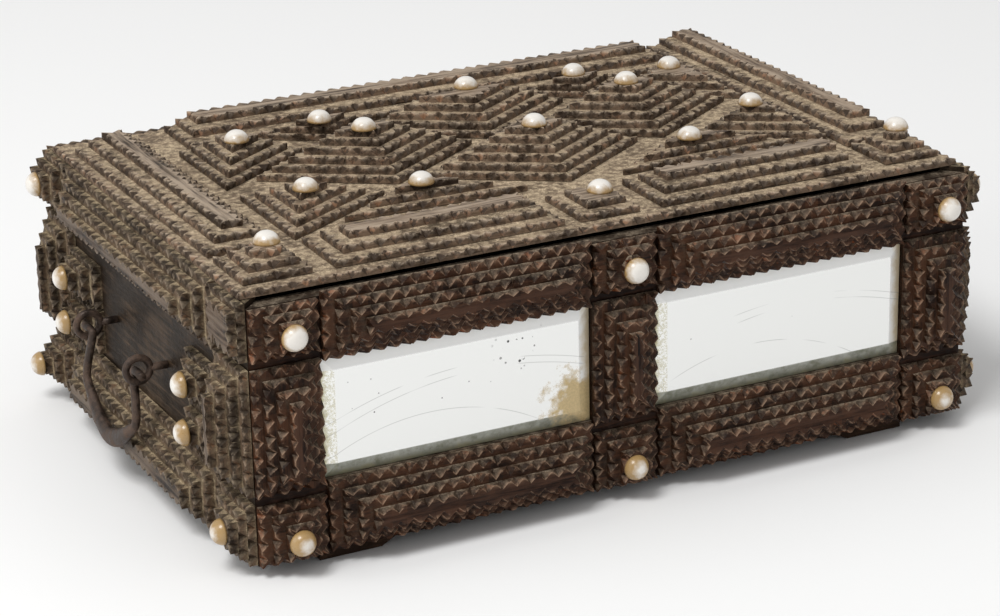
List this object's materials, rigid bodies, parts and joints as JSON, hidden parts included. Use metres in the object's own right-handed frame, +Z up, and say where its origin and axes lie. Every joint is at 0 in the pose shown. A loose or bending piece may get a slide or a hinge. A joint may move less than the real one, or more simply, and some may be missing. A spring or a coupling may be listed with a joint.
{
  "type": "tramp art box",
  "caption": "Lidded wooden tramp art box built of stepped, chip-carved layers, with domed tacks, bevelled front mirrors and iron bail handles.",
  "frame": {"origin": "on the surface the feet stand on, at the centre of the box's outer limits", "axes": "+X along the mirrored front to the viewer's right, +Y from front to back, +Z up"},
  "size_m": [0.353, 0.2364, 0.1329],
  "materials": {
    "front_wood": "dark red-brown stain, worn",
    "side_wood": "dark stain under grey-tan dust",
    "lid_wood": "dark stain under grey-tan dust",
    "back_wood": "plain brown, matt",
    "mirror": "old bevelled mirror glass, stained edges",
    "iron": "dark rusty iron"
  },
  "bodies": {
    "root": {"back_board": "back_wood", "back_bottom_band": "back_wood", "back_post_left": "back_wood", "back_post_right": "back_wood", "back_top_band": "back_wood", "bottom_board": "back_wood", "foot_back_left": "back_wood", "foot_back_right": "back_wood", "foot_front_left": "front_wood", "foot_front_right": "front_wood", "front_board": "front_wood", "front_bottom_band_left": "front_wood", "front_bottom_band_right": "front_wood", "front_post_centre": "front_wood", "front_post_left": "front_wood", "front_post_right": "front_wood", "front_top_band_left": "front_wood", "front_top_band_right": "front_wood", "left_board": "side_wood", "left_bottom_band": "side_wood", "left_eye_back": "iron", "left_eye_front": "iron", "left_post_back": "side_wood", "left_post_front": "side_wood", "left_top_band": "side_wood", "lid_block_centre": "lid_wood", "lid_block_left": "lid_wood", "lid_block_right": "lid_wood", "lid_board": "lid_wood", "lid_corner_back_left": "lid_wood", "lid_corner_back_right": "lid_wood", "lid_diamond_back": "lid_wood", "lid_diamond_front": "lid_wood", "lid_diamond_left": "lid_wood", "lid_diamond_right": "lid_wood", "lid_half_diamond_left": "lid_wood", "lid_half_diamond_right": "lid_wood", "lid_strip_back": "lid_wood", "lid_strip_front_left": "lid_wood", "lid_strip_front_right": "lid_wood", "lid_strip_left": "lid_wood", "lid_strip_right": "lid_wood", "lid_triangle_front_left": "lid_wood", "lid_triangle_front_right": "lid_wood", "lid_triangle_left": "lid_wood", "lid_triangle_right": "lid_wood", "mirror_left": "mirror", "mirror_right": "mirror", "right_board": "side_wood", "right_bottom_band": "side_wood", "right_eye_back": "iron", "right_eye_front": "iron", "right_post_back": "side_wood", "right_post_front": "side_wood", "right_top_band": "side_wood"},
    "left_handle": {"left_handle": "iron"},
    "right_handle": {"right_handle": "iron"}
  },
  "joints": [
    {"name": "left_handle_swing", "type": "hinge", "parent": "root", "child": "left_handle", "pos_m": [-0.17, 0.00975, 0.05505], "axis": [0, 1, 0], "range_deg": [0, 160]},
    {"name": "right_handle_swing", "type": "hinge", "parent": "root", "child": "right_handle", "pos_m": [0.17, 0.00975, 0.05505], "axis": [0, -1, 0], "range_deg": [0, 160]}
  ]
}
